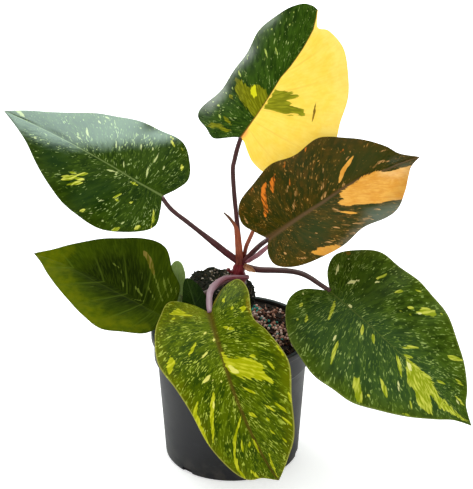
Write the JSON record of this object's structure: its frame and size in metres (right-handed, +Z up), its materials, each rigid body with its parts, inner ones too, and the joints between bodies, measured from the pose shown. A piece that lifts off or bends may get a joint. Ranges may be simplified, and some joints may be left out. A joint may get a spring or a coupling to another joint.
{
  "type": "potted philodendron",
  "caption": "Potted philodendron with variegated heart-shaped leaves in green, yellow and orange bronze on maroon stalks, in a black nursery pot.",
  "frame": {"origin": "middle of the pot's foot, on the surface it stands on", "axes": "+Z up along the pot's axis, -Y towards the side that the leaves face, +X to the right seen from that side"},
  "size_m": [0.3187, 0.2049, 0.3065],
  "materials": {
    "pot_plastic": "satin black, lightly scuffed",
    "mix_grains": "rough bark and coir with pale and blue-green feed granules",
    "plug_moss": "rough, dark green moss over peat",
    "crown_skin": "crimson, slightly glossy",
    "stalk_maroon": "dark maroon, slightly glossy",
    "stalk_mauve": "greyish mauve, slightly glossy",
    "shoot_red": "reddish, slightly glossy",
    "sheath_brown": "orange-brown, withered to olive at the tip",
    "sheath_pink": "pink, satin",
    "scale_paper": "dry and papery",
    "leaf_green": "glossy green with fine pale flecks",
    "leaf_half_moon": "glossy, one half green and one half yellow",
    "leaf_bronze": "glossy olive bronze with orange patches",
    "leaf_patched": "glossy green with yellow-green patches",
    "leaf_speckled": "glossy light green with dense pale flecks",
    "leaf_underside": "satin olive underside with pale veins",
    "leaf_pale": "satin pale green",
    "leaf_dark": "satin dark green"
  },
  "bodies": {
    "root": {"pot": "pot_plastic", "potting_mix": "mix_grains", "root_plug": "plug_moss", "stem": "crown_skin", "petiole_a": "stalk_maroon", "petiole_b": "stalk_maroon", "petiole_c": "stalk_maroon", "petiole_d": "stalk_mauve", "petiole_e": "stalk_mauve", "petiole_f": "stalk_mauve", "shoot": "shoot_red", "sheath_b": "sheath_brown", "sheath_pink": "sheath_pink", "scale": "scale_paper", "leaf_a": "leaf_green", "leaf_b": "leaf_half_moon", "leaf_c": "leaf_bronze", "leaf_d": "leaf_patched", "leaf_e": "leaf_speckled", "leaf_f": "leaf_underside", "leaf_g": "leaf_pale", "leaf_h": "leaf_dark"}
  },
  "joints": []
}
